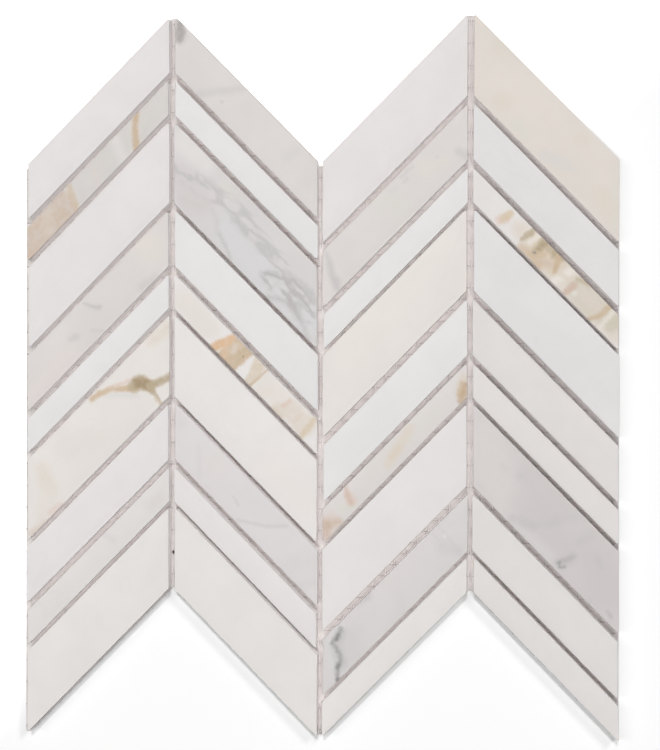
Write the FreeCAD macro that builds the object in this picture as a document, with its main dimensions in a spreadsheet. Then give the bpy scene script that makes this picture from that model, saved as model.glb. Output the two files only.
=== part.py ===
"""Chevron wall tile: marble strips in zigzag columns, glued side by side on a woven mesh backing."""
import FreeCAD
import Part
import Sketcher
import math
import os

# Driving sizes, in millimetres and degrees
SIZES = {
    "strip_run": 73.9,
    "strip_angle": 45.5,
    "wide_width": 29.5,
    "medium_width": 20.3,
    "narrow_width": 12.5,
    "strip_joint": 2.5,
    "column_joint": 2.9,
    "stone_thickness": 9.5,
    "arris": 0.4,
    "laying_play": 0.3,
    "laying_turn": 0.18,
    "mesh_thickness": 0.5,
    "mesh_overhang": 0.7,
    "mesh_left_overhang": 2.8,
}

# Strip widths from the bottom of each column upwards
WIDTH_NAMES = ("wide", "medium", "narrow")
LEFT_ORDER = ["wide", "narrow", "medium"] * 3
RIGHT_ORDER = ["narrow", "medium", "wide"] * 3
COLUMN_ORDERS = [LEFT_ORDER, LEFT_ORDER, RIGHT_ORDER, RIGHT_ORDER]
COLUMN_COUNT = len(COLUMN_ORDERS)
STRIP_COUNT = len(LEFT_ORDER)

# Paces, in radians a strip, of the small hand-laid shifts and turns
ACROSS_PACE = 2.4
ALONG_PACE = 4.1
TURN_PACE = 5.5

doc = FreeCAD.newDocument("chevron_wall_tile")
sheet = doc.addObject("Spreadsheet::Sheet", "sizes")
for row, (alias, value) in enumerate(SIZES.items(), start=1):
    sheet.set(f"A{row}", alias)
    sheet.set(f"B{row}", str(value))
    sheet.setAlias(f"B{row}", alias)
doc.recompute()


def cell(alias):
    """Expression that reads one driving size."""
    return f"<<sizes>>.{alias}"


def upright(expression):
    """A size measured square to a strip, turned into its height along the column."""
    return f"({expression}) / cos({cell('strip_angle')})"


def evaluate(expression):
    """Present value of an expression, as the first guess for a sketch corner."""
    value = sheet.evalExpression(expression)
    return float(getattr(value, "Value", value))


# Heights and widths of the whole sheet, all from the driving sizes
SLOPE = f"tan({cell('strip_angle')})"
RISE = f"({cell('strip_run')} * {SLOPE})"
COLUMN_PITCH = f"({cell('strip_run')} + {cell('column_joint')})"
COLUMN_HEIGHT = upright(
    f"{STRIP_COUNT // 3} * ({cell('wide_width')} + {cell('medium_width')} + {cell('narrow_width')})"
    f" + {STRIP_COUNT - 1} * {cell('strip_joint')}"
)
SHEET_WIDTH = f"({COLUMN_COUNT} * {cell('strip_run')} + {COLUMN_COUNT - 1} * {cell('column_joint')})"
BASE_LINE = f"(-({COLUMN_HEIGHT} + {RISE}) / 2)"

# The mesh stands out more on the left, so the stone sits to the right of the origin
STONE_SHIFT = f"(({cell('mesh_left_overhang')} - {cell('mesh_overhang')}) / 2)"


def ground_plane(body):
    """The body's own horizontal origin plane."""
    for feature in body.Origin.OriginFeatures:
        if feature.Role == "XY_Plane":
            return feature
    raise ValueError("no ground plane")


def hold(sketch, kind, line, value, expression):
    """Hold the start of one line at a distance from the sketch's origin."""
    sketch.addConstraint(Sketcher.Constraint(kind, -1, 1, line, 1, value))
    sketch.setExpression(f"Constraints[{sketch.ConstraintCount - 1}]", expression)


def add_plate(label, corners, thickness):
    """A body with one straight-sided plate, its corners given as pairs of expressions."""
    body = doc.addObject("PartDesign::Body", label)
    body.Label = label
    sketch = body.newObject("Sketcher::SketchObject", f"{label}_outline")
    sketch.AttachmentSupport = [(ground_plane(body), "")]
    sketch.MapMode = "FlatFace"

    points = [FreeCAD.Vector(evaluate(x), evaluate(y), 0) for x, y in corners]
    count = len(points)
    for line in range(count):
        sketch.addGeometry(Part.LineSegment(points[line], points[(line + 1) % count]), False)
    for line in range(count):
        sketch.addConstraint(Sketcher.Constraint("Coincident", line, 2, (line + 1) % count, 1))
    for line, (x, y) in enumerate(corners):
        hold(sketch, "DistanceX", line, points[line].x, x)
        hold(sketch, "DistanceY", line, points[line].y, y)

    pad = body.newObject("PartDesign::Pad", f"{label}_pad")
    pad.Profile = sketch
    pad.setExpression("Length", cell(thickness))
    sketch.Visibility = False
    return body, pad


def add_strip(column, index):
    """One sawn marble strip with eased upper edges, in its place in the column."""
    order = COLUMN_ORDERS[column]
    label = f"column{column + 1}_strip{STRIP_COUNT - index}_{order[index]}"
    width = cell(f"{order[index]}_width")

    # Outline about the strip's own middle: upright ends and slanting long edges
    lean = 1 if column % 2 == 0 else -1
    corners = []
    for side, level in ((-1, -1), (1, -1), (1, 1), (-1, 1)):
        end_height = f"{side * lean} * {RISE} / 2 + {level} * {upright(width)} / 2"
        corners.append((f"{side} * {cell('strip_run')} / 2", end_height))
    body, pad = add_plate(label, corners, "stone_thickness")
    doc.recompute()

    faces = pad.Shape.Faces
    top = max(range(len(faces)), key=lambda number: faces[number].CenterOfMass.z)
    arris = body.newObject("PartDesign::Chamfer", f"{label}_arris")
    arris.Base = (pad, [f"Face{top + 1}"])
    arris.setExpression("Size", cell("arris"))
    pad.Visibility = False

    # Place in the column: every strip and joint below it, then half its own height
    lower = [f"{order[:index].count(name)} * {cell(f'{name}_width')}" for name in WIDTH_NAMES]
    stack = upright(f"{' + '.join(lower)} + {index} * {cell('strip_joint')} + {width} / 2")
    place = column * STRIP_COUNT + index
    across = f"{cell('laying_play')} * {math.sin(ACROSS_PACE * place):.3f}"
    along = f"{cell('laying_play')} * {math.cos(ALONG_PACE * place):.3f}"
    turn = f"{cell('laying_turn')} * {math.sin(TURN_PACE * place):.3f}"
    column_offset = column - (COLUMN_COUNT - 1) / 2
    body.Placement.Rotation = FreeCAD.Rotation(FreeCAD.Vector(0, 0, 1), 0.0)
    body.setExpression("Placement.Base.x", f"{STONE_SHIFT} + {column_offset} * {COLUMN_PITCH} + {across}")
    body.setExpression("Placement.Base.y", f"{BASE_LINE} + {RISE} / 2 + {stack} + {along}")
    body.setExpression("Placement.Base.z", cell("mesh_thickness"))
    body.setExpression("Placement.Rotation.Angle", turn)
    return body


def add_mesh_backing():
    """Zigzag backing sheet under every strip, cut a little outside the stone, its points cut blunt."""
    overhang = cell("mesh_overhang")
    left_overhang = cell("mesh_left_overhang")
    half_joint = f"{cell('column_joint')} / 2"
    reach = upright(overhang)
    cut_back = f"({reach} - {overhang}) / {SLOPE}"
    left = f"-({SHEET_WIDTH} / 2 + {left_overhang})"
    right = f"({SHEET_WIDTH} / 2 + {overhang})"
    corner = f"({SHEET_WIDTH} / 2 - {cut_back})"
    blunt = f"({half_joint} + {cut_back})"

    # Heights above the lower points of the columns, then above their upper edges at the sheet's sides
    low_notch = f"{RISE} + {half_joint} * {SLOPE} - {reach}"
    lower = [
        (left, f"-{overhang}"),
        (f"-{corner}", f"-{overhang}"),
        (f"-{COLUMN_PITCH}", low_notch),
        (f"-{blunt}", f"-{overhang}"),
        (blunt, f"-{overhang}"),
        (COLUMN_PITCH, low_notch),
        (corner, f"-{overhang}"),
        (right, f"-{overhang}"),
    ]
    high_point = f"{RISE} + {overhang}"
    upper = [
        (right, f"{reach} - {overhang} * {SLOPE}"),
        (f"{COLUMN_PITCH} + {blunt}", high_point),
        (f"{COLUMN_PITCH} - {blunt}", high_point),
        ("0", f"{reach} - {half_joint} * {SLOPE}"),
        (f"-({COLUMN_PITCH} - {blunt})", high_point),
        (f"-({COLUMN_PITCH} + {blunt})", high_point),
        (left, f"{reach} - {left_overhang} * {SLOPE}"),
    ]
    corners = [(f"{STONE_SHIFT} + ({x})", f"{BASE_LINE} + ({y})") for x, y in lower]
    corners += [(f"{STONE_SHIFT} + ({x})", f"{BASE_LINE} + {COLUMN_HEIGHT} + ({y})") for x, y in upper]
    body, pad = add_plate("mesh_backing", corners, "mesh_thickness")
    return body


bodies = [add_mesh_backing()]
for column in range(COLUMN_COUNT):
    for index in range(STRIP_COUNT):
        bodies.append(add_strip(column, index))
doc.recompute()

for item in doc.Objects:
    if "Invalid" in item.State or "Error" in item.State:
        raise RuntimeError(f"{item.Label} did not rebuild: {item.State}")
for body in bodies:
    if body.Shape.isNull() or not body.Shape.isValid():
        raise RuntimeError(f"{body.Label} has no valid shape")

os.makedirs("parts", exist_ok=True)
for body in bodies:
    body.Shape.exportStep(f"parts/{body.Label}.step")
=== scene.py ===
"""Looks of the chevron wall tile: figured marble strips on a woven mesh, lying on a pale floor."""

from collections import namedtuple
import math
import random

import bmesh
import bpy
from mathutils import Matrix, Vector, noise


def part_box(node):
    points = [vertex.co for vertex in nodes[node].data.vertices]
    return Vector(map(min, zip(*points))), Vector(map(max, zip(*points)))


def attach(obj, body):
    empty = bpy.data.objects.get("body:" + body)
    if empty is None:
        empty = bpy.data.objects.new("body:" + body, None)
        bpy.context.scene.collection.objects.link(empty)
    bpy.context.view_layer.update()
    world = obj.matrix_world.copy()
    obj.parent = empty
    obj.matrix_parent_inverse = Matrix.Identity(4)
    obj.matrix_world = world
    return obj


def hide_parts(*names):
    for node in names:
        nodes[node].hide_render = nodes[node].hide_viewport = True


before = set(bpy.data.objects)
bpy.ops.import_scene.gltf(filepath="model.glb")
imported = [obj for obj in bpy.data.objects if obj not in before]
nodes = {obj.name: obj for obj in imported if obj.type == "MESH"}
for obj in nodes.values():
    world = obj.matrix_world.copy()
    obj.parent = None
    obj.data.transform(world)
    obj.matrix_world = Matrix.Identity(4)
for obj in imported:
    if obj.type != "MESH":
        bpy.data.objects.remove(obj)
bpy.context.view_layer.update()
scene = bpy.context.scene

MM = 0.001

# Ground tones of the stone under plain light, red green blue from 0 to 255
TONES = {
    "white": (228, 224, 223),
    "cool": (229, 227, 226),
    "bright": (231, 227, 225),
    "warm": (228, 224, 221),
    "ivory": (229, 224, 219),
    "cream": (224, 216, 208),
    "chalk": (225, 222, 222),
    "pale": (223, 219, 217),
    "frost": (220, 215, 215),
    "mist": (220, 215, 212),
    "dove": (214, 210, 206),
    "grey": (215, 211, 210),
    "slate": (208, 203, 202),
}

# Tone of each strip, from the top of each column down. Column four's strips, its lower ones most, take
# darker tones: partly their own, partly painted shade for the light falling off towards the lower right
COLUMN_TONES = {
    1: "white dove white mist cool ivory white pale warm",
    2: "mist cool grey cool bright bright frost white warm",
    3: "white mist cool ivory cool mist white grey warm",
    4: "cream chalk warm chalk pale pale slate pale pale",
}

# Pigments of the figure, from gold and brown through grey to near black
PIGMENTS = {
    "gold": (199, 177, 150),
    "gold_pale": (211, 194, 170),
    "honey": (204, 183, 157),
    "amber": (217, 182, 147),
    "rust": (190, 163, 135),
    "umber": (158, 138, 108),
    "khaki": (184, 169, 143),
    "olive_pale": (204, 197, 181),
    "sand": (203, 185, 170),
    "clay": (204, 182, 167),
    "coral": (218, 194, 182),
    "cream": (213, 200, 182),
    "straw": (217, 206, 193),
    "blush": (216, 205, 198),
    "shell": (224, 216, 208),
    "ivory": (230, 224, 218),
    "rosy": (222, 213, 210),
    "pearl": (224, 220, 218),
    "sage": (215, 212, 204),
    "lilac": (207, 200, 199),
    "mercury": (213, 212, 213),
    "haze": (214, 209, 207),
    "fog": (212, 208, 207),
    "ash": (204, 200, 199),
    "gravel": (200, 195, 194),
    "smoke": (193, 190, 190),
    "slate_pale": (183, 178, 178),
    "moss": (166, 161, 157),
    "slate": (158, 154, 155),
    "jet": (134, 130, 131),
}

Stroke = namedtuple("Stroke", "pigment strength soft points grain vein")


def stroke(pigment, strength, soft, *points, grain=0.0, vein=False):
    """One mark of the figure: points of (along, across, width), in millimetres from the strip's middle."""
    return Stroke(pigment, strength, soft, points, grain, vein)


# Figure of each strip by column and row, laid on in this order
FIGURES = {
    (1, 2): [
        stroke("sand", 0.95, 2, (-58, -1, 24), (-30, 1, 22), grain=0.35),
        stroke("clay", 0.6, 3, (-52, -5, 6), (-57, -7, 6), grain=0.4),
        stroke("gold", 0.35, 2.4, (-46, 5, 4), (-28, -2, 5), grain=0.6),
        stroke("straw", 0.4, 2.5, (-40, -3, 5), (-33, 4, 4)),
        stroke("honey", 0.75, 1.3, (-14.5, 8, 2.4), (-18, 2, 3.2), (-22, -7, 2.4), grain=0.3),
        stroke("lilac", 0.35, 2.5, (-12, 3, 3), (-16, -6, 3)),
        stroke("blush", 0.6, 1.1, (0, 6, 0.8), (-2, 0, 1.2), (-5, -6, 1.2)),
        stroke("blush", 0.4, 1.2, (2, 3, 0.8), (-1, -5, 1)),
        stroke("pearl", 0.6, 3, (18, 5, 4), (14, -5, 4)),
        stroke("blush", 0.6, 2, (37, 7, 2.6), (30, 2, 4.5), (22.5, -7, 4)),
        stroke("gold", 1.0, 1.1, (37, 7, 1.6), (32, 4, 2.4), (28, 0, 2.6), (24.5, -4, 3),
               (22, -7, 3), grain=0.15),
    ],
    (1, 4): [
        stroke("shell", 0.6, 6, (42.5, 3.5, 13.5)),
        stroke("haze", 0.8, 6, (-11, -1.5, 13.5), (1.5, -2, 13.5)),
        stroke("smoke", 0.9, 1.3, (-2, 8, 0.5), (-0.5, 4.5, 1.5), (2, 1, 2.1)),
        stroke("ash", 0.9, 1.8, (-20.5, 0, 2.1), (-17.5, -1, 3)),
        stroke("ash", 0.7, 1.3, (-9, -4.5, 1), (-4.5, -10, 0.8)),
        stroke("ash", 0.7, 2.6, (25.5, -8, 4), (33, -9.5, 3.5)),
        stroke("rosy", 0.7, 6, (-50.5, -9, 13.5), (-28, -7.5, 11.5)),
    ],
    (1, 6): [
        stroke("rosy", 0.35, 7, (-17, 4.5, 13.5), (-0.5, -6, 9.5)),
        stroke("cream", 0.55, 3.2, (62, 10.5, 5), (52, 12, 4), grain=0.4),
        stroke("fog", 0.5, 1.6, (14, 9, 1), (21, 3, 2.1), (26, -3, 1.5)),
        stroke("coral", 0.75, 1.1, (18, 11, 0.8), (25, 7.5, 1.2), (30, 5, 1.4), (36, 0, 1.4)),
        stroke("honey", 1.0, 1.2, (8, 13, 2), (13, 12, 2.4), (19, 9, 2.2), (24, 4.5, 2.6), (28, 1, 3.4)),
        stroke("khaki", 1.0, 1.6, (28, 2, 5.4), (32, 1, 7.6), (34, -3, 6)),
        stroke("umber", 0.95, 1.5, (31, 2.4, 4), (33.5, -1.5, 4.4), (33, -6, 2.8), grain=0.3),
        stroke("umber", 0.6, 1.3, (29, 1, 1.6), (34.5, -2.5, 2), grain=0.4),
        stroke("khaki", 0.95, 1.2, (34, -4, 4), (39, -5.5, 4), (45, -8, 3.6), grain=0.25),
        stroke("umber", 0.5, 1.2, (37, -5, 1.6), (46, -8.5, 2), grain=0.3),
        stroke("khaki", 0.8, 1, (33, -6, 2.2), (33, -10, 1.4), (32, -14, 1), (33, -16.5, 1)),
        stroke("honey", 0.5, 1, (31.5, -10, 0.8), (31.5, -15, 1.6)),
        stroke("straw", 0.65, 3.6, (-36, 6, 5), (-39, 0, 6), (-40, -5, 4), grain=0.3),
        stroke("shell", 0.5, 3.5, (-42, -4, 6), (-52, -11, 7)),
        stroke("coral", 0.5, 1.8, (-48.5, -13.5, 2.6), (-42.5, -14.5, 3)),
        stroke("clay", 0.5, 2.2, (-63, -14.5, 4), (-55, -15, 2)),
    ],
    (1, 8): [
        stroke("fog", 0.8, 2.1, (10.5, 6, 2.1), (11.5, 0.5, 2.6)),
        stroke("haze", 0.7, 3.5, (38, -0.5, 5), (44, -1.5, 4)),
    ],
    (2, 1): [
        stroke("haze", 0.7, 4.5, (-40.5, -0.5, 7), (-31, -5.5, 10.5)),
        stroke("haze", 0.7, 3.5, (-2.5, 4, 7)),
        stroke("fog", 0.8, 3, (29.5, 0.5, 4), (30.5, 6, 4)),
        stroke("haze", 0.7, 4.5, (45.5, 1, 7)),
        stroke("gravel", 0.7, 3, (-60, 10, 4), (-54, 5, 6)),
        stroke("moss", 1.0, 1.5, (-59, 10, 2.6), (-55.5, 6.5, 4.6), (-53, 3, 3), grain=0.2),
        stroke("ash", 0.75, 2.4, (-25.5, -9.5, 3), (-21, -2.5, 3), (-15.5, 3.5, 2.4), (-11, 10, 2)),
        stroke("ash", 0.8, 0.7, (-14.5, -3.5, 1.3)),
    ],
    (2, 3): [
        stroke("pearl", 0.9, 5, (-57.5, 11.5, 10.5), (-40, 11, 6)),
        stroke("lilac", 0.55, 5, (-46.5, -3, 8), (-28, -6, 11)),
        stroke("sage", 0.5, 3, (-24.5, 10, 5), (-16, 10.5, 3)),
        stroke("mercury", 0.8, 7, (-6, -4, 13.5), (18, -5.5, 17.5), (54.5, -8, 12.5)),
        stroke("fog", 0.7, 3, (-14, 7, 3), (6, 4, 4), (24, 2, 4), (44, 2, 5)),
        stroke("lilac", 0.8, 2, (-37, -10, 2), (-31, -8, 3.4), (-25, -4, 2.4)),
        stroke("ash", 0.85, 1.2, (-50, -1.5, 1.2), (-36, 1, 1.3), (-28, 5, 1.2), (-14, 9, 1.4),
               (-9, 9, 1.2), grain=0.5),
        stroke("ash", 0.85, 1.4, (-9, 9, 1.2), (6, 5.5, 1.5), (13, 4.5, 2), (21, 3.5, 2.6), grain=0.4),
        stroke("smoke", 0.75, 1.2, (-17.5, 3, 1), (-12, 2.6, 1.8), (0, 0.8, 1.2), grain=0.4),
        stroke("ash", 0.9, 1.4, (0, 0.8, 1.4), (18, 1, 2.4), (23, 0, 1.6), grain=0.4),
        stroke("ash", 0.85, 1.6, (-21, -3, 1.5), (-16, -5, 1.8), (-11, -10.5, 1.4), grain=0.4),
        stroke("smoke", 0.85, 1.3, (-10, -9, 1.2), (-3.5, -11, 1.6), (2.5, -13.5, 1.2), grain=0.3),
        stroke("smoke", 1.0, 1.6, (22, -5.5, 2.6), (26, -3, 3.2), grain=0.3),
        stroke("smoke", 0.9, 1.6, (27, 1.5, 1.8), (39, 3, 3), (45, 3, 3.4), (49, 1, 3), grain=0.4),
        stroke("smoke", 0.9, 1.8, (47, -3, 3.6), (43.5, -6.5, 3.4), (37, -10, 2), (31, -14, 2), grain=0.4),
        stroke("ash", 0.85, 1.6, (28.5, -11, 1.4), (29.5, -5, 1.8), (37, 0.5, 1.4), grain=0.4),
        stroke("smoke", 0.8, 1.8, (44.5, -6, 2.8), (54, -11.5, 2.2), (60, -14, 2.2), grain=0.4),
        stroke("smoke", 0.9, 3, (-50, -2, 6), (-26, 4, 8), (-8, 5, 9), (24, 2, 7), vein=True),
        stroke("slate_pale", 0.85, 3, (24, -6, 8), (38, -3, 12), (50, -6, 10), vein=True),
    ],
    (2, 5): [
        stroke("shell", 0.7, 4, (-46, 0, 10), (-26, 0, 10)),
        stroke("shell", 0.7, 4, (13, 0, 10), (26, 0, 10)),
        stroke("honey", 1.0, 1.1, (-7.8, 8, 12), (-7.6, 0, 12.4), (-8.4, -8, 12.4), grain=0.15),
        stroke("gold", 0.8, 2, (-4, 7, 5), (-5, 0, 7), (-6, -7, 6), grain=0.4),
        stroke("khaki", 0.35, 1.8, (-5.5, 6, 3), (-4, -2, 3), grain=0.5),
        stroke("amber", 1.0, 1.3, (-14.5, 7, 2), (-15, 2, 4), (-17, -3, 4), (-18, -7, 3)),
        stroke("amber", 0.55, 1.8, (-12.5, -3, 3), (-10.5, -6, 2)),
        stroke("pearl", 0.5, 2.1, (-11, 3, 1.5), (-9, 0, 1.5)),
        stroke("umber", 0.9, 0.5, (-3.5, 1.8, 0.9)),
        stroke("cream", 1.0, 1.3, (1.5, 7, 2.4), (5.5, 4, 6), (7, -1, 5), (7.6, -7, 4), grain=0.2),
        stroke("gold", 0.75, 0.8, (10, 7, 0.8), (9.6, 0, 1.2), (9.5, -7, 1.2)),
        stroke("shell", 0.8, 2.4, (15, -7, 4), (18, -0.5, 3.5), grain=0.4),
        stroke("straw", 0.85, 2.4, (28, -4, 4), (34, 0.5, 10), (44, -0.5, 10), grain=0.3),
        stroke("coral", 0.75, 1.2, (29.5, 3, 1.5), (28.8, -1, 1.6)),
        stroke("cream", 0.7, 1.6, (26, -6, 1.6), (32, -5.5, 2)),
        stroke("coral", 0.35, 1.6, (38.5, -2.5, 1.5), (38.5, 1.5, 1)),
        stroke("gold_pale", 0.9, 1.4, (45, 7, 2.1), (46, 0, 2.6), (47, -7, 1.6), grain=0.2),
    ],
    (2, 6): [
        stroke("ivory", 0.6, 11.5, (26, -4, 13.5), (49.5, -5.5, 13.5)),
    ],
    (2, 7): [
        stroke("sage", 0.3, 5, (-27, 3.5, 9.5)),
        stroke("fog", 0.6, 2.6, (-53, 5, 4)),
        stroke("fog", 0.7, 1.5, (-39.5, 4, 1.3), (-27.5, -7, 2.1)),
        stroke("ash", 0.9, 1.3, (3, -8.5, 0.8), (10.5, -3.5, 1), (16, 0.5, 1.5), (22.5, 7.5, 0.8)),
        stroke("ash", 0.6, 1, (-8, -2, 0.8), (-3, -3, 1.5)),
        stroke("fog", 0.9, 2.6, (50, -8.5, 4), (52.5, -4, 3.5)),
        stroke("fog", 0.5, 3.5, (38.5, -3.5, 6)),
    ],
    (3, 2): [
        stroke("sage", 0.5, 5, (-0.5, 4.5, 12.5), (0.5, -3.5, 10.5)),
        stroke("shell", 0.5, 4, (24.5, 2.5, 7), (34.5, -2, 4)),
        stroke("haze", 0.6, 4, (-30, 3, 7), (-39.5, -0.5, 8)),
        stroke("ash", 0.9, 2.3, (42.5, -4, 3), (44, -9, 4)),
        stroke("ash", 0.6, 1, (33, 2, 1.3)),
        stroke("ash", 0.8, 1.1, (12.5, 8, 1.3), (17.5, 7.5, 1.3), (20.5, 7.5, 0.8)),
        stroke("ash", 0.7, 1.3, (12.5, 5, 1.5), (14.5, 5, 1.5)),
        stroke("fog", 0.8, 2.1, (4.5, 7, 2.6), (7, 6, 1.5)),
        stroke("smoke", 0.7, 2.1, (-42, 8, 1.5), (-44, 4, 2.1), (-48, -3, 2.6), (-51, -8.5, 2.1)),
        stroke("smoke", 0.6, 2.6, (-48, -5.5, 3)),
    ],
    (3, 4): [
        stroke("ivory", 0.5, 9.5, (39.5, 13.5, 20.5), (-25.5, 6.5, 20.5)),
    ],
    (3, 6): [
        stroke("sage", 0.8, 3, (-39, -0.5, 3.5), (-34.5, -3, 3)),
        stroke("sage", 0.4, 3.5, (-15, 1.5, 5), (29.5, 0, 6)),
        stroke("cream", 0.7, 2.6, (52, 2, 3), (46, -2.5, 5)),
        stroke("rust", 1.0, 1.4, (50, -1, 2), (46.5, -3.5, 3.2), (43, -5.5, 3.2), grain=0.2),
        stroke("gold", 0.7, 1.2, (44, -2.5, 1.6), (49.5, 1, 1.6)),
        stroke("straw", 0.9, 2.4, (15, 4, 2.4), (8, 2, 3.6), (0, 0, 4.4), (-7, -1.5, 2.6), grain=0.2),
        stroke("cream", 0.5, 1.8, (3, 0.5, 1.8), (-3, -0.5, 1.8)),
        stroke("coral", 0.8, 2.4, (-32, 2, 3), (-33, -1, 4)),
        stroke("clay", 0.7, 1.4, (-30, 6, 1.2), (-32.5, 2, 2.4), (-34, -2, 2)),
        stroke("blush", 0.9, 2.6, (-45.5, 0.5, 4), (-50, 2, 4)),
        stroke("clay", 1.0, 2.4, (-55, -4, 4.6), (-51, -1, 5.6), (-45.5, -4, 3), grain=0.25),
        stroke("rust", 0.4, 1.6, (-52.5, -0.5, 2), (-50, -2, 2), grain=0.4),
    ],
    (3, 8): [
        stroke("fog", 0.8, 5, (-30, 3, 12.5), (-16, 5.5, 10.5)),
        stroke("mercury", 0.9, 4, (-35, 5.5, 8), (-44, -4.5, 8)),
        stroke("ash", 0.6, 6, (-30, 2, 8), (-38, -6, 8)),
        stroke("ash", 0.75, 4, (-35.5, 4, 6), (-42, -2, 5), (-47, -8, 4)),
        stroke("smoke", 0.8, 2.6, (-33, 6, 4), (-40, 3, 4), (-44, -5, 4)),
        stroke("ash", 0.65, 3, (35, 0, 6), (39, -7, 4)),
        stroke("haze", 0.6, 5, (0, 7.5, 7), (16, 5, 7)),
        stroke("smoke", 0.7, 2.2, (-17, 11, 2.1), (-10, 9, 2.2)),
        stroke("ash", 0.7, 1, (41, 11, 0.6), (40.5, 3.5, 0.8), (39.5, -8, 0.8)),
        stroke("ash", 0.5, 1, (36, 8.5, 0.6), (35.5, 1, 0.8)),
        stroke("pearl", 0.9, 0.8, (39.5, 3.5, 1.3)),
        stroke("slate", 0.9, 1.2, (-32, 7.5, 2), (-36, 5.8, 2.8), (-40.5, 5.5, 1.6), (-40.5, 2, 1.3),
               (-41.5, -1, 1.6), (-43.5, -4, 1.4), (-47, -5, 2.4), (-50, -8, 1.4), (-52, -10.5, 2.8),
               grain=0.3),
        stroke("jet", 0.8, 0.9, (-35, 6.6, 1), (-37.5, 5.4, 1.2)),
        stroke("jet", 0.7, 0.9, (-46, -4.6, 1), (-47.5, -5.6, 0.8)),
        stroke("jet", 0.7, 0.9, (-51.5, -9.8, 1.2), (-52.5, -11, 1)),
    ],
    (4, 1): [
        stroke("shell", 0.6, 4, (-35, -3.5, 8), (-11.5, -0.5, 7)),
        stroke("straw", 0.4, 3, (-46.5, 12.5, 5)),
        stroke("straw", 0.45, 3.5, (-25.5, -6, 7)),
        stroke("sage", 0.6, 3, (-12, -9.5, 5), (-4, -10, 4)),
        stroke("haze", 0.6, 3, (9, -10.5, 5), (22, -5.5, 4.5)),
        stroke("straw", 0.4, 3, (16.5, 9, 6)),
        stroke("straw", 0.5, 4, (45, -4, 7), (53, -6, 5)),
        stroke("sage", 0.5, 2.6, (38.5, 9.5, 3), (62.5, -12.5, 3)),
        stroke("sage", 0.4, 2.6, (-58.5, 13, 2.1), (-17, 11.5, 2.1), (28.5, 12.5, 2.1)),
    ],
    (4, 3): [
        stroke("straw", 0.75, 4, (-20, 1, 6), (0, 1, 13), (24, 1, 13), (52, 1, 13)),
        stroke("cream", 0.55, 3, (-8, 1, 12), (8, 1, 12)),
        stroke("cream", 0.9, 2.2, (-7, 4, 8), (2, 2, 9), (6, 0, 7)),
        stroke("olive_pale", 0.75, 2.2, (22, 1, 10), (31, 0, 12), (41, 1, 11), grain=0.2),
        stroke("coral", 0.75, 1.8, (-30.5, -3, 3.5), (-29, 0, 4)),
        stroke("gold_pale", 1.0, 1.4, (-29.5, -1.5, 3), (-28.8, 3, 3.2), grain=0.2),
        stroke("khaki", 0.95, 1.1, (-15.5, -2, 1.8), (-14.8, 2, 2.8), (-14, 8, 2.4), grain=0.2),
        stroke("honey", 0.85, 2, (-13, -5, 2.4), (-6, -4, 4), (0, -5, 3.4)),
        stroke("ivory", 0.8, 1.4, (-11.5, 0, 1.8), (-10.5, 7, 2.2)),
        stroke("khaki", 1.0, 1.4, (-6, -1, 3.6), (-6, 5, 5), (0, 6, 5.4), (6, 6, 3.6), grain=0.3),
        stroke("umber", 0.65, 1.2, (-5.5, 7, 2.4), (-6, 1, 2), grain=0.3),
        stroke("umber", 0.45, 1.2, (0.5, 7, 2), (2, 3, 1.6), grain=0.4),
        stroke("honey", 0.9, 1.5, (-5.5, -2.4, 3.6), (-2, 0.5, 2.8), grain=0.3),
        stroke("jet", 0.8, 0.7, (-6.2, -1.8, 1.2)),
        stroke("clay", 0.7, 1.8, (-1, -3.5, 3), (3.5, -0.5, 3), grain=0.3),
        stroke("gold", 1.0, 1.1, (3, 7, 2.4), (5.5, 3, 3), (8, -1, 2.4)),
        stroke("ivory", 0.9, 2, (11.5, -5, 3), (13.5, 4, 3.4)),
        stroke("straw", 0.9, 1.4, (9.5, 0, 1.6), (15, 0.5, 1.6), (18.5, 4, 1.6)),
        stroke("blush", 0.75, 1.8, (25, 1, 5), (34, 1.5, 7), grain=0.4),
        stroke("clay", 0.95, 1.4, (19.2, -5, 2.2), (19.8, 0.5, 3)),
        stroke("khaki", 0.7, 1.3, (19, 4, 1.8), (25, 7, 2.6)),
        stroke("pearl", 0.7, 1.3, (22.8, -2, 2.1)),
        stroke("gold", 0.9, 1.2, (37, -6, 1.6), (40, -1, 2.4), (40.5, 6, 2.6)),
        stroke("ivory", 0.7, 1.4, (43.5, 5, 1.8), (44, -5, 1.8)),
        stroke("olive_pale", 1.0, 2.2, (48, -1, 5), (48.5, 5, 6)),
    ],
    (4, 5): [
        stroke("shell", 0.5, 4, (20, 19.5, 6)),
    ],
    (4, 7): [
        stroke("haze", 0.8, 9.5, (-51.5, 8, 17.5), (-23, -10, 15.5)),
        stroke("gravel", 0.8, 11.5, (22.5, 8, 13.5), (47, -3.5, 18.5)),
        stroke("gravel", 0.65, 7, (-19.5, 11.5, 13.5), (1.5, 8.5, 10.5)),
        stroke("gravel", 0.5, 6, (-14, -4, 10), (14, -3, 12)),
        stroke("fog", 0.7, 3.5, (-11, -13.5, 3), (14, -12.5, 4.5)),
        stroke("smoke", 0.85, 2.4, (-12, -12, 2.8), (-7, -9.5, 4), (-2, -7.5, 3), grain=0.3),
        stroke("smoke", 0.5, 2.4, (-2, -7, 2), (5, 2, 2.4), grain=0.3),
        stroke("smoke", 0.4, 3.5, (3.5, 3.5, 3), (11, 13.5, 3)),
        stroke("smoke", 0.5, 2.6, (20, 3.5, 2.6), (21.5, 10, 3)),
        stroke("smoke", 0.9, 2.8, (22, -10, 4.4), (23, -4, 3.4)),
        stroke("slate_pale", 1.0, 1.5, (20, -11, 2), (22, -8, 2.4), (23, -4, 2), grain=0.35),
        stroke("slate", 0.8, 0.9, (20.6, -10.8, 1.3), (22.5, -12.4, 1), (24.2, -10.4, 1.1)),
        stroke("smoke", 0.6, 1.8, (33, 4, 2), (37, 3, 2)),
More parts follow.
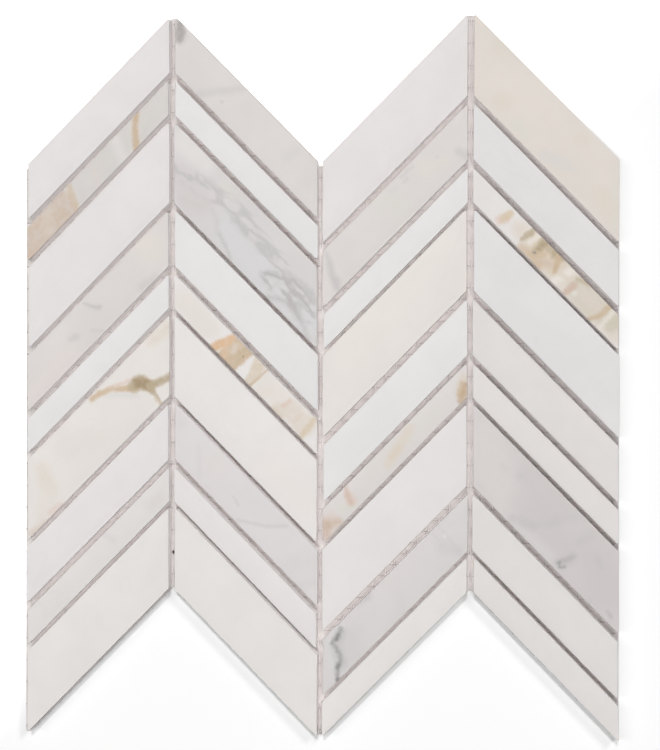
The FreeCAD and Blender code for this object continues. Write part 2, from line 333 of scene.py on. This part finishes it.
        stroke("ash", 0.6, 2.2, (-35, 3, 2), (-32.5, 3.5, 1.8)),
        stroke("smoke", 0.45, 2.4, (-24.5, 6, 3)),
        stroke("smoke", 0.7, 1.5, (45, -13, 1.5)),
        stroke("slate_pale", 0.7, 1.4, (55.5, -10.5, 1), (58, -11, 1.5)),
    ],
}


def linear(colour):
    """A colour from 0 to 255 as the linear values that shaders take."""
    values = []
    for channel in colour:
        share = channel / 255
        values.append(share / 12.92 if share <= 0.04045 else ((share + 0.055) / 1.055) ** 2.4)
    return (*values, 1.0)


class Graph:
    """Nodes of one tree: each call adds a node, links or sets its inputs and returns its output."""

    def __init__(self, tree):
        self.tree = tree
        tree.nodes.clear()

    def add(self, kind, **settings):
        """A new node of one kind, with its settings."""
        node = self.tree.nodes.new(kind)
        for key, value in settings.items():
            setattr(node, key, value)
        return node

    def feed(self, socket, value):
        """Link an output to a socket, or set the socket's own value."""
        if isinstance(value, bpy.types.NodeSocket):
            self.tree.links.new(value, socket)
        else:
            socket.default_value = value

    def math(self, operation, a, b=0.0, c=0.0, clamp=False):
        """One operation on numbers."""
        node = self.add("ShaderNodeMath", operation=operation, use_clamp=clamp)
        for socket, value in zip(node.inputs, (a, b, c)):
            self.feed(socket, value)
        return node.outputs[0]

    def vector(self, operation, a, b=(0, 0, 0)):
        """One operation on vectors, whose result may be a number."""
        node = self.add("ShaderNodeVectorMath", operation=operation)
        self.feed(node.inputs[0], a)
        self.feed(node.inputs["Scale"] if operation == "SCALE" else node.inputs[1], b)
        return node.outputs["Value" if operation in ("LENGTH", "DOT_PRODUCT", "DISTANCE") else "Vector"]

    def step(self, value, low, high, start=0.0, end=1.0):
        """Smooth change from start at low to end at high."""
        node = self.add("ShaderNodeMapRange", interpolation_type="SMOOTHSTEP")
        for socket, number in zip(node.inputs, (value, low, high, start, end)):
            self.feed(socket, number)
        return node.outputs[0]

    def noise(self, place, size, detail=3.0, roughness=0.5, colour=False):
        """Noise whose features are about size millimetres across."""
        node = self.add("ShaderNodeTexNoise")
        self.feed(node.inputs["Vector"], place)
        node.inputs["Scale"].default_value = 1 / size
        node.inputs["Detail"].default_value = detail
        node.inputs["Roughness"].default_value = roughness
        return node.outputs["Color" if colour else "Fac"]

    def ridge(self, field):
        """How far a noise is from its middle, which is nothing along winding lines."""
        return self.math("ABSOLUTE", self.math("SUBTRACT", field, 0.5))

    def blend(self, factor, a, b):
        """Colour a where the factor is nothing, colour b where it is one."""
        node = self.add("ShaderNodeMix", data_type="RGBA")
        self.feed(node.inputs[0], factor)
        self.feed(node.inputs[6], a)
        self.feed(node.inputs[7], b)
        return node.outputs[2]

    def place(self):
        """A point of the piece in millimetres of the shared frame."""
        return self.vector("SCALE", self.add("ShaderNodeTexCoord").outputs["Object"], 1 / MM)

    def principled(self, colour, roughness, specular):
        """An opaque surface with its colour and gloss."""
        shader = self.add("ShaderNodeBsdfPrincipled")
        self.feed(shader.inputs["Base Color"], colour)
        self.feed(shader.inputs["Roughness"], roughness)
        self.feed(shader.inputs["Specular IOR Level"], specular)
        return shader.outputs[0]

    def seen(self):
        """One for rays from the camera, from a reflection or through glass, and nothing for light."""
        path = self.add("ShaderNodeLightPath")
        bright = self.math("MAXIMUM", path.outputs["Is Camera Ray"], path.outputs["Is Glossy Ray"])
        return self.math("MAXIMUM", bright, path.outputs["Is Transmission Ray"])

    def finish(self, kind, shader):
        """Make the shader what the tree gives out."""
        self.feed(self.add(kind).inputs["Surface"], shader)


def new_material(name):
    """An empty material and the graph of its nodes."""
    material = bpy.data.materials.new(name)
    material.use_nodes = True
    return material, Graph(material.node_tree)


# Marble. Sizes are in millimetres, and a spread is the range of noise over which something changes
NOISE_SPREAD = (0.3, 0.7)
NOISE_MIDDLE = (0.5, 0.5, 0.5)
SEED_SHIFT = (37.0, 53.0)

# Ground of the stone: clouds, hairlines and crystal grain
CLOUD_SIZE = 20.0
CLOUD_DEPTH = 0.985
HAIR_STRENGTH = 0.08
HAIR_COLOUR = (205, 201, 199)
HAIR_SPACING = 28.0
HAIR_WIDTH = 0.014
HAIR_BEND = 10.0
HAIR_BEND_SIZE = 15.0
HAIR_PATCH_SIZE = 24.0
HAIR_PATCH_SPREAD = (0.48, 0.62)
GRAIN_SIZE = 0.5
GRAIN_DEPTH = 0.98

# Figure: how far it wanders from its strokes, how soft their rims are and how they break up
WIDE_WANDER = 1.3
WIDE_WANDER_SIZE = 11.0
FINE_WANDER = 2.0
FINE_WANDER_SIZE = 1.9
RIM_OUT = 1.1
RIM_IN = 0.7
FLECK_SIZE = 2.2
FLECK_SPREAD = (0.35, 0.65)
THIN_SIZE = 4.5
THIN_SPREAD = (0.3, 0.6)
THIN_SHARE = 0.84
VEIN_BEND = 4.0
VEIN_BEND_SIZE = 8.0
VEIN_STRETCH = (0.4, 1.0, 1.0)
VEIN_SPACING = 6.5
VEIN_WIDTH = 0.1

# Finish of the honed face and of the sawn sides, which start a little below the face. The sides are
# painted near-white, partly for the paler sawn stone and partly as painted light that glows through the
# stone into the joints
SAWN_AND_GLOW_COLOUR = (250, 248, 248)
SAWN_AND_GLOW_SHARES = (0.89, 0.97)
SAWN_AND_GLOW_BELOW = (0.8, 0.4)
SAW_MARK_SIZE = 1.5
SAW_MARK_STRETCH = (0.2, 0.2, 3.0)
FACE_ROUGHNESS = (0.36, 0.46)
POLISH_SIZE = 6.0
STONE_SPECULAR = 0.4


def strip_place(g, middle, lean):
    """Millimetres along and across a strip from its middle, and up from the ground."""
    turned = g.add("ShaderNodeVectorRotate", rotation_type="Z_AXIS")
    g.feed(turned.inputs["Vector"], g.vector("SUBTRACT", g.place(), middle))
    g.feed(turned.inputs["Angle"], -lean)
    return turned.outputs[0]


def wander(g, place, seeded):
    """The place on the strip's face, pushed about so that strokes drawn on it look grown."""
    wide = g.noise(seeded, WIDE_WANDER_SIZE, detail=2.0, colour=True)
    fine = g.noise(seeded, FINE_WANDER_SIZE, detail=4.0, roughness=0.6, colour=True)
    pushed = place
    for field, reach in ((wide, WIDE_WANDER), (fine, FINE_WANDER)):
        centred = g.vector("SUBTRACT", field, NOISE_MIDDLE)
        pushed = g.vector("ADD", pushed, g.vector("SCALE", centred, reach))
    return g.vector("MULTIPLY", pushed, (1, 1, 0))


def stroke_gap(g, place, start, end):
    """Distance in millimetres from the rim of one tapering stretch of a stroke, negative inside it."""
    (ax, ay, start_width), (bx, by, end_width) = start, end
    away = g.vector("SUBTRACT", place, (ax, ay, 0))
    run = (bx - ax, by - ay, 0)
    length = math.hypot(bx - ax, by - ay)
    if length == 0:
        return g.math("SUBTRACT", g.vector("LENGTH", away), start_width / 2)
    along = g.math("DIVIDE", g.vector("DOT_PRODUCT", away, run), length ** 2, clamp=True)
    reach = g.vector("DISTANCE", away, g.vector("SCALE", run, along))
    half = g.math("MULTIPLY_ADD", along, (end_width - start_width) / 2, start_width / 2)
    return g.math("SUBTRACT", reach, half)


def vein_lines(g, seeded):
    """Thin wisps that run along the strip and branch, one on a wisp and nothing between them."""
    bend = g.vector("SCALE", g.noise(seeded, VEIN_BEND_SIZE, detail=2.0, colour=True), VEIN_BEND)
    drawn = g.vector("MULTIPLY", g.vector("ADD", seeded, bend), VEIN_STRETCH)
    return g.step(g.ridge(g.noise(drawn, VEIN_SPACING, detail=1.5)), 0.0, VEIN_WIDTH, 1.0, 0.0)


def stroke_cover(g, place, mark, fleck, thinning, lines):
    """How much of a stroke's pigment lies at a point, patchy, or on the wisps alone for a vein."""
    points = mark.points
    pairs = list(zip(points, points[1:])) or [(points[0], points[0])]
    gap = stroke_gap(g, place, *pairs[0])
    for pair in pairs[1:]:
        gap = g.math("MINIMUM", gap, stroke_gap(g, place, *pair))
    full = g.step(fleck, *FLECK_SPREAD, mark.strength * (1 - mark.grain), mark.strength)
    rim = g.step(gap, RIM_OUT * mark.soft, -RIM_IN * mark.soft)
    return g.math("MULTIPLY", rim, g.math("MULTIPLY", full, lines if mark.vein else thinning))


def stone_ground(g, seeded, tone):
    """Plain stone: faint clouds, hairlines and crystal grain."""
    shade = tuple(CLOUD_DEPTH * value for value in TONES[tone])
    cloud = g.step(g.noise(seeded, CLOUD_SIZE, detail=5.0, roughness=0.55), *NOISE_SPREAD)
    colour = g.blend(cloud, linear(TONES[tone]), linear(shade))
    bend = g.vector("SCALE", g.noise(seeded, HAIR_BEND_SIZE, colour=True), HAIR_BEND)
    field = g.noise(g.vector("ADD", seeded, bend), HAIR_SPACING, detail=2.0)
    hair = g.step(g.ridge(field), 0.0, HAIR_WIDTH, HAIR_STRENGTH, 0.0)
    some = g.step(g.noise(seeded, HAIR_PATCH_SIZE, detail=2.0), *HAIR_PATCH_SPREAD)
    colour = g.blend(g.math("MULTIPLY", hair, some), colour, linear(HAIR_COLOUR))
    grain = g.noise(seeded, GRAIN_SIZE, detail=2.0, roughness=0.7)
    crystal = g.step(grain, *NOISE_SPREAD, GRAIN_DEPTH, 1.0)
    return g.vector("SCALE", colour, crystal)


def marble(name, tone, seed, middle, lean, top, marks):
    """Marble with its own figure, which runs through the stone to near-white sawn sides, partly paler
    stone and partly painted light glowing into the joints.
    """
    material, g = new_material(name)
    place = strip_place(g, middle, lean)
    seeded = g.vector("ADD", place, (*(seed * shift for shift in SEED_SHIFT), 0.0))
    colour = stone_ground(g, seeded, tone)
    if marks:
        figure_place = wander(g, place, seeded)
        fleck = g.noise(seeded, FLECK_SIZE, detail=5.0, roughness=0.65)
        thinning = g.step(g.noise(seeded, THIN_SIZE), *THIN_SPREAD, THIN_SHARE, 1.0)
        lines = vein_lines(g, seeded) if any(mark.vein for mark in marks) else None
        for mark in marks:
            cover = stroke_cover(g, figure_place, mark, fleck, thinning, lines)
            colour = g.blend(cover, colour, linear(PIGMENTS[mark.pigment]))
    height = g.add("ShaderNodeSeparateXYZ")
    g.feed(height.inputs[0], place)
    saw_marks = g.noise(g.vector("MULTIPLY", seeded, SAW_MARK_STRETCH), SAW_MARK_SIZE)
    sawn = g.step(saw_marks, *NOISE_SPREAD, *SAWN_AND_GLOW_SHARES)
    below = g.step(height.outputs[2], *(top - depth for depth in SAWN_AND_GLOW_BELOW), 1.0, 0.0)
    # Below the face the colour turns near-white: partly the sawn finish, partly painted light for the glow
    # through the stone into the joints
    colour = g.blend(g.math("MULTIPLY", below, sawn), colour, linear(SAWN_AND_GLOW_COLOUR))
    roughness = g.step(g.noise(seeded, POLISH_SIZE), *NOISE_SPREAD, *FACE_ROUGHNESS)
    g.finish("ShaderNodeOutputMaterial", g.principled(colour, roughness, STONE_SPECULAR))
    return material


# Stone strips
EDGE_STEP = 0.7 * MM
ARRIS = 0.4 * MM
ARRIS_ROWS = 4
BACK_EASE = 0.25
BACK_EASE_HEIGHT = 0.1 * MM
WEAR_MEAN = 0.85
WEAR_SWING = 0.35
WEAR_SIZE = 3 * MM
SAME_HEIGHT = 1e-6
PLACE_DIGITS = 6
SEEDS_A_COLUMN = 10
CORNER_RADIUS = 0.55 * MM
CORNER_SPREAD = (0.9, 1.4)
CORNER_POINTS = 5
SHARP_ANGLE = 32


def strip_corners(node):
    """The four corners of a strip's back, anticlockwise."""
    low = min(v.co.z for v in node.data.vertices)
    back = [v.co for v in node.data.vertices if v.co.z < low + SAME_HEIGHT]
    found = {(round(p.x, PLACE_DIGITS), round(p.y, PLACE_DIGITS)) for p in back}
    middle = sum((Vector(p) for p in found), Vector((0, 0))) / len(found)
    return sorted((Vector(p) for p in found), key=lambda p: math.atan2(p.y - middle.y, p.x - middle.x))


def strip_lean(corners):
    """Angle of the strip's long edges against the sheet's width."""
    edges = [b - a for a, b in zip(corners, corners[1:] + corners[:1])]
    slanting = max(edges, key=lambda edge: abs(edge.x))
    return math.atan2(slanting.y, slanting.x) if slanting.x > 0 else math.atan2(-slanting.y, -slanting.x)


def corner_arc(last, corner, following, radius):
    """Points and outward normals round one worn corner."""
    to_last = (last - corner).normalized()
    to_next = (following - corner).normalized()
    half = to_last.angle(to_next) / 2
    centre = corner + (to_last + to_next).normalized() * (radius / math.sin(half))
    start = corner + to_last * (radius / math.tan(half)) - centre
    arc = []
    for k in range(CORNER_POINTS):
        angle = (math.pi - 2 * half) * k / (CORNER_POINTS - 1)
        arm = Vector((start.x * math.cos(angle) - start.y * math.sin(angle),
                      start.x * math.sin(angle) + start.y * math.cos(angle)))
        arc.append((centre + arm, arm.normalized()))
    return arc


def rounded_outline(corners, rng):
    """Points and outward normals along the strip's edge, with slightly worn corners."""
    arcs = []
    for last, corner, following in zip(corners[-1:] + corners, corners, corners[1:] + corners[:1]):
        arcs.append(corner_arc(last, corner, following, CORNER_RADIUS * rng.uniform(*CORNER_SPREAD)))
    points = []
    for arc, following in zip(arcs, arcs[1:] + arcs[:1]):
        points += arc
        end = arc[-1][0]
        run = following[0][0] - end
        normal = Vector((run.y, -run.x)).normalized()
        steps = max(1, int(run.length / EDGE_STEP))
        points += [(end + run * (k / steps), normal) for k in range(1, steps)]
    return points


def add_walls(mesh, rows):
    """Faces between closed rows of points, each row joined to the next."""
    for lower, upper in zip(rows, rows[1:]):
        count = len(lower)
        for i in range(count):
            j = (i + 1) % count
            mesh.faces.new((lower[i], lower[j], upper[j], upper[i]))


def add_caps(mesh, rows):
    """One face on the first row and one on the last."""
    mesh.faces.new(list(reversed(rows[0])))
    mesh.faces.new(rows[-1])


def strip_mesh(name, corners, low, high, seed):
    """A sawn strip with eased, slightly uneven arrises, inside its solid."""
    outline = rounded_outline(corners, random.Random(seed))
    mesh = bmesh.new()
    rows = []
    profile = [(low.z, BACK_EASE), (low.z + BACK_EASE_HEIGHT, 0.0)]
    levels = [0.5 * math.pi * k / ARRIS_ROWS for k in range(ARRIS_ROWS + 1)]
    for z, share in profile:
        rows.append([mesh.verts.new((*(p - n * ARRIS * share), z)) for p, n in outline])
    for angle in levels:
        row = []
        for p, n in outline:
            uneven = noise.noise(Vector((p.x / WEAR_SIZE, p.y / WEAR_SIZE, seed)))
            worn = ARRIS * (WEAR_MEAN + WEAR_SWING * uneven)
            inset = worn * (1 - math.cos(angle))
            row.append(mesh.verts.new((*(p - n * inset), high.z - worn * (1 - math.sin(angle)))))
        rows.append(row)
    add_walls(mesh, rows)
    for face in mesh.faces:
        face.smooth = True
    add_caps(mesh, rows)
    data = bpy.data.meshes.new(f"{name}_stone")
    mesh.to_mesh(data)
    mesh.free()
    data.set_sharp_from_angle(angle=math.radians(SHARP_ANGLE))
    return data


def add_piece(name, data, node):
    """A piece that rides with the sheet and stands for one node of the solid model."""
    piece = bpy.data.objects.new(name, data)
    scene.collection.objects.link(piece)
    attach(piece, "root")
    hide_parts(node)
    return piece


def build_strip(column, row, tone):
    """One strip with its own stone, in place of its solid."""
    name = next(n for n in nodes if n.startswith(f"column{column}_strip{row}_"))
    seed = column * SEEDS_A_COLUMN + row
    low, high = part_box(name)
    corners = strip_corners(nodes[name])
    data = strip_mesh(name, corners, low, high, seed)
    middle = ((low.x + high.x) / 2 / MM, (low.y + high.y) / 2 / MM, 0.0)
    marks = FIGURES.get((column, row), [])
    stone = marble(f"marble_{column}_{row}", tone, seed, middle, strip_lean(corners), high.z / MM, marks)
    data.materials.append(stone)
    add_piece(f"{name}_stone", data, name)


for column, tones in COLUMN_TONES.items():
    for row, tone in enumerate(tones.split(), start=1):
        build_strip(column, row, tone)


# Woven mesh backing: threads across, pairs of upright threads, a cut over the middle joint and a glue film
Weave = namedtuple("Weave", "lower upper box level middle warp_pitch")
WEFT_PITCH = 5.72 * MM
WARPS_A_COLUMN = 14
STEPS_A_PITCH = 4
WEFT_WIDTH = 0.6 * MM
WARP_WIDTH = 0.85 * MM
THREAD_HEIGHT = 0.17 * MM
THREAD_RIM = ((-0.5, 0.0), (-0.3, -0.5), (0.3, -0.5), (0.5, 0.0), (0.3, 0.5), (-0.3, 0.5))
WEAVE_LIFT = 0.1 * MM
PAIR_GAP = 1.05 * MM
PAIR_STEP = 0.02 * MM
CUT_BACK = 0.5 * MM
CUT_HALF = 1.6 * MM
CUT_SLOPE = 0.05 * MM
FILM_LOW = 0.2 * MM
FILM_HIGH = 0.29 * MM

# Looks of the threads and the glue, with sizes and places in millimetres
# Crosswise threads are darker than the upright ones: partly their own tone, partly painted shade for the
# dark lines across the joints
WEFT_SHADED_COLOURS = ((200, 192, 190), (190, 182, 180), (186, 178, 175))
WARP_COLOURS = ((222, 217, 216), (214, 209, 208), (208, 202, 199))
FILM_COLOURS = ((220, 214, 212), (212, 206, 203), (208, 200, 195))
FILAMENT_SIZE = 0.22
GLUED_SIZE = 3.5
GLUED_SPREAD = (0.5, 0.7)
GLUED_SHARE = 0.6
THREAD_ROUGHNESS = 0.55
POOL_SIZE = 4.5
POOL_SPREAD = (0.35, 0.65)
STAIN_SIZE = 17.0
STAIN_SPREAD = (0.55, 0.75)
STAIN_SHARE = 0.4
FILM_ROUGHNESS = (0.45, 0.7)
FILM_GLOSS_SIZE = 1.5
GLUE_SPECULAR = 0.3
# Painted shade: glue and threads darken in the joints under the last column, between these places across
# in millimetres, down to this share
PAINTED_SHADE_FROM = (80.0, 92.0)
PAINTED_SHADE_DEPTH = 0.84
SPECK_PLACE = (-76.2, -91.6, 0.0)
SPECK_STRETCH = (1.0, 0.55, 0.0)
SPECK_RADII = (0.35, 0.75)
SPECK_COLOUR = (52, 47, 45)


def shaded_and_specked(g, place, colour):
    """The colour, darkened as painted shade in the joints under the last column, with one speck in an
    upright joint.
    """
    parts = g.add("ShaderNodeSeparateXYZ")
    g.feed(parts.inputs[0], place)
    # Painted shade over the last column's joints
    colour = g.vector("SCALE", colour, g.step(parts.outputs[0], *PAINTED_SHADE_FROM, 1.0, PAINTED_SHADE_DEPTH))
    away = g.vector("MULTIPLY", g.vector("SUBTRACT", place, SPECK_PLACE), SPECK_STRETCH)
    spot = g.step(g.vector("LENGTH", away), *SPECK_RADII, 1.0, 0.0)
    return g.blend(spot, colour, linear(SPECK_COLOUR))


def thread_material(name, light, dark, glued):
    """Coated glass fibre: fine filaments along the thread, dulled by dried glue."""
    material, g = new_material(name)
    place = g.place()
    filament = g.step(g.noise(place, FILAMENT_SIZE, detail=2.0), *NOISE_SPREAD)
    colour = g.blend(filament, linear(light), linear(dark))
    glue = g.step(g.noise(place, GLUED_SIZE, detail=4.0), *GLUED_SPREAD, 0.0, GLUED_SHARE)
    colour = shaded_and_specked(g, place, g.blend(glue, colour, linear(glued)))
    g.finish("ShaderNodeOutputMaterial", g.principled(colour, THREAD_ROUGHNESS, GLUE_SPECULAR))
    return material


def film_material(light, dark, stained):
    """Set glue between the threads, uneven and a little yellowed."""
    material, g = new_material("glue_film")
    place = g.place()
    pool = g.step(g.noise(place, POOL_SIZE, detail=4.0), *POOL_SPREAD)
    colour = g.blend(pool, linear(light), linear(dark))
    stain = g.step(g.noise(place, STAIN_SIZE), *STAIN_SPREAD, 0.0, STAIN_SHARE)
    colour = shaded_and_specked(g, place, g.blend(stain, colour, linear(stained)))
    roughness = g.step(g.noise(place, FILM_GLOSS_SIZE), *NOISE_SPREAD, *FILM_ROUGHNESS)
    g.finish("ShaderNodeOutputMaterial", g.principled(colour, roughness, GLUE_SPECULAR))
    return material


def mesh_outline(node):
    """The mesh's zigzag outline from its solid: lower and upper points, both left to right."""
    places = [v.co for v in node.data.vertices]
    found = sorted({(round(p.x, PLACE_DIGITS), round(p.y, PLACE_DIGITS)) for p in places})
    return [p for p in found if p[1] < 0], [p for p in found if p[1] > 0]


def height_at(points, x):
    """Height of a zigzag line at x, level beyond its ends."""
    if x <= points[0][0]:
        return points[0][1]
    for (x0, y0), (x1, y1) in zip(points, points[1:]):
        if x <= x1:
            return y0 + (y1 - y0) * (x - x0) / (x1 - x0)
    return points[-1][1]


def cut_short(points, middle, inward):
    """A zigzag line that steps inward over the middle joint, where the mesh is cut short of the stone."""
    left, right = middle - CUT_HALF, middle + CUT_HALF
    level = height_at(points, middle) + inward
    cut = [(left, height_at(points, left)), (left + CUT_SLOPE, level)]
    cut += [(right - CUT_SLOPE, level), (right, height_at(points, right))]
    return [p for p in points if p[0] < left] + cut + [p for p in points if p[0] > right]


def add_thread(mesh, points, width, sideways):
    """A flat ribbon of six sides along the points."""
    rows = []
    for p in points:
        row = []
        for u, v in THREAD_RIM:
            row.append(mesh.verts.new(p + sideways * (u * width) + Vector((0, 0, v * THREAD_HEIGHT))))
        rows.append(row)
    add_walls(mesh, rows)
    add_caps(mesh, rows)


def mesh_piece(name, mesh, material, smooth):
    """One piece of the backing, in place of its solid."""
    bmesh.ops.recalc_face_normals(mesh, faces=mesh.faces)
    for face in mesh.faces:
        face.smooth = smooth
    data = bpy.data.meshes.new(name)
    mesh.to_mesh(data)
    mesh.free()
    data.materials.append(material)
    return add_piece(name, data, "mesh_backing")


def build_weft(weave, material):
    """Threads across the sheet, each cut where the zigzag edge crosses it."""
    weft = bmesh.new()
    low, high = weave.box
    step = weave.warp_pitch / STEPS_A_PITCH
    for k in range(int((high.y - low.y) / WEFT_PITCH) + 1):
        y = low.y + (k + 0.5) * WEFT_PITCH
        run = []
        x = low.x
        while x <= high.x:
            inside = height_at(weave.lower, x) < y < height_at(weave.upper, x)
            if inside:
                phase = math.pi * ((x - weave.middle) / weave.warp_pitch + k)
                run.append(Vector((x, y, weave.level + WEAVE_LIFT * math.cos(phase))))
            if run and (not inside or x + step > high.x):
                if len(run) > 1:
                    add_thread(weft, run, WEFT_WIDTH, Vector((0, 1, 0)))
                run = []
            x += step
    mesh_piece("mesh_weft", weft, material, True)


def build_warp(weave, label, side, material):
    """One thread of each upright pair."""
    warp = bmesh.new()
    columns = int((weave.box[1].x - weave.middle) / weave.warp_pitch)
    for k in range(-columns, columns + 1):
        x = weave.middle + k * weave.warp_pitch + side * PAIR_GAP / 2
        bottom, top = height_at(weave.lower, x), height_at(weave.upper, x)
        steps = int((top - bottom) / (WEFT_PITCH / STEPS_A_PITCH))
        run = []
        for i in range(steps + 1):
            y = bottom + (top - bottom) * i / steps
            phase = math.pi * (y / WEFT_PITCH + k)
            run.append(Vector((x, y, weave.level + WEAVE_LIFT * math.cos(phase) + side * PAIR_STEP)))
        add_thread(warp, run, WARP_WIDTH, Vector((1, 0, 0)))
    mesh_piece(f"mesh_warp_{label}", warp, material, True)


def build_film(weave):
    """Thin film of set glue that fills the mesh between its threads."""
    ring = weave.lower + list(reversed(weave.upper))
    mesh = bmesh.new()
    rows = [[mesh.verts.new((x, y, z)) for x, y in ring] for z in (FILM_LOW, FILM_HIGH)]
    add_walls(mesh, rows)
    add_caps(mesh, rows)
    mesh_piece("mesh_glue_film", mesh, film_material(*FILM_COLOURS), False)


def build_mesh():
    """Threads and glue film of the backing, set out from its solid's outline."""
    lower, upper = mesh_outline(nodes["mesh_backing"])
    low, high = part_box("mesh_backing")
    notches = sorted(x for x, y in sorted(lower, key=lambda point: point[1])[-2:])
    middle = sum(notches) / 2
    weave = Weave(
        lower=cut_short(lower, middle, CUT_BACK),
        upper=cut_short(upper, middle, -CUT_BACK),
        box=(low, high),
        level=(low.z + high.z) / 2,
        middle=middle,
        warp_pitch=(notches[1] - notches[0]) / 2 / WARPS_A_COLUMN,
    )
    weft = thread_material("weft_thread_shaded", *WEFT_SHADED_COLOURS)
    warp = thread_material("warp_thread", *WARP_COLOURS)
    build_weft(weave, weft)
    for side, label in ((-1, "left"), (1, "right")):
        build_warp(weave, label, side, warp)
    build_film(weave)


build_mesh()

# Pale floor that glows to plain white, except near the sheet's lower right, where its shadow shows
FLOOR_SIZE = 8.0
FLOOR_DROP = 0.05 * MM
FLOOR_COLOUR = (0.97, 0.97, 0.97, 1)
FLOOR_BOUNCE = (0.35, 0.35, 0.35, 1)
GLOW_WAY = (0.707, -0.707, 0.0)
GLOW_TURN = (-0.03, 0.02)
GLOW_LEVELS = (0.75, 0.0)
GLOW_FAR = (0.4, 1.2)


def floor_material():
    """Matt white as seen, greyer in the light it throws back, with a glow that lights nothing."""
    material, g = new_material("floor_white")
    seen = g.seen()
    diffuse = g.add("ShaderNodeBsdfDiffuse")
    g.feed(diffuse.inputs["Color"], g.blend(seen, FLOOR_BOUNCE, FLOOR_COLOUR))
    glow = g.add("ShaderNodeEmission")
    place = g.add("ShaderNodeTexCoord").outputs["Object"]
    near = g.step(g.vector("DOT_PRODUCT", place, GLOW_WAY), *GLOW_TURN, *GLOW_LEVELS)
    level = g.math("MAXIMUM", near, g.step(g.vector("LENGTH", place), *GLOW_FAR))
    g.feed(glow.inputs["Strength"], g.math("MULTIPLY", seen, level))
    both = g.add("ShaderNodeAddShader")
    g.feed(both.inputs[0], diffuse.outputs[0])
    g.feed(both.inputs[1], glow.outputs[0])
    g.finish("ShaderNodeOutputMaterial", both.outputs[0])
    return material


def build_floor():
    """A wide square just under the sheet."""
    half = FLOOR_SIZE / 2
    data = bpy.data.meshes.new("floor")
    corners = [(-half, -half), (half, -half), (half, half), (-half, half)]
    data.from_pydata([(x, y, -FLOOR_DROP) for x, y in corners], [], [(0, 1, 2, 3)])
    data.materials.append(floor_material())
    floor = bpy.data.objects.new("floor", data)
    scene.collection.objects.link(floor)


build_floor()

# Surroundings: faint even light, and plain white where they are seen
WORLD_LEVEL = 0.04
WORLD_COLOUR = (1, 1, 1, 1)


def build_world():
    """The background that lights the sheet and that low views see behind it."""
    world = bpy.data.worlds.new("studio")
    scene.world = world
    world.use_nodes = True
    g = Graph(world.node_tree)
    background = g.add("ShaderNodeBackground")
    g.feed(background.inputs["Color"], WORLD_COLOUR)
    g.feed(background.inputs["Strength"], g.math("MAXIMUM", g.seen(), WORLD_LEVEL))
    g.finish("ShaderNodeOutputWorld", background.outputs[0])


build_world()

# Soft panels above the sheet: sideways lean for each metre of height, width and length likewise, and power
Panel = namedtuple("Panel", "lean across along power")
PANEL_HEIGHT = 4.0
PANELS = {
    "long_panel": Panel((0.0, -0.21), 0.06, 0.1, 2.15),
    "rising_panel": Panel((0.2, 0.2), 0.08, 0.08, 1.3),
    "far_panel": Panel((0.6, 0.6), 0.25, 0.25, 1.95),
    "upright_panel": Panel((0.0, 0.4), 0.1, 0.1, 2.95),
    "left_panel": Panel((-0.45, 0.1), 0.35, 0.8, 2.3),
}


def add_panel(name, panel):
    """A lamp whose light is even over the sheet, kept out of reflections."""
    light = bpy.data.lights.new(name, "AREA")
    light.shape = "RECTANGLE"
    light.size = panel.across * PANEL_HEIGHT
    light.size_y = panel.along * PANEL_HEIGHT
    light.energy = panel.power
    light.use_nodes = True
    g = Graph(light.node_tree)
    falloff = g.add("ShaderNodeLightFalloff")
    falloff.inputs["Strength"].default_value = 1.0
    glow = g.add("ShaderNodeEmission")
    g.feed(glow.inputs["Strength"], falloff.outputs["Constant"])
    g.finish("ShaderNodeOutputLight", glow.outputs[0])
    place = Vector((*panel.lean, 1.0)) * PANEL_HEIGHT
    lamp = bpy.data.objects.new(name, light)
    lamp.location = place
    lamp.rotation_euler = (-place).to_track_quat("-Z", "Y").to_euler()
    lamp.visible_glossy = False
    scene.collection.objects.link(lamp)


for panel_name, panel in PANELS.items():
    add_panel(panel_name, panel)

# Camera above the sheet, a little to its right
CAMERA_PLACE = (77.6 * MM, 3.95 * MM, 1.0)
CAMERA_TURN = (-0.177, 4.127, 0.076)
CAMERA_LENS = 92.91
CAMERA_SENSOR = 36.0
camera_data = bpy.data.cameras.new("camera")
camera_data.lens = CAMERA_LENS
camera_data.sensor_width = CAMERA_SENSOR
camera = bpy.data.objects.new("camera", camera_data)
camera.location = CAMERA_PLACE
camera.rotation_euler = [math.radians(angle) for angle in CAMERA_TURN]
scene.collection.objects.link(camera)
scene.camera = camera

scene.view_settings.view_transform = "Standard"

# Enough bounces for light to reach down into the narrow joints
DIFFUSE_BOUNCES = 12
MAX_BOUNCES = 16
scene.cycles.diffuse_bounces = DIFFUSE_BOUNCES
scene.cycles.max_bounces = MAX_BOUNCES
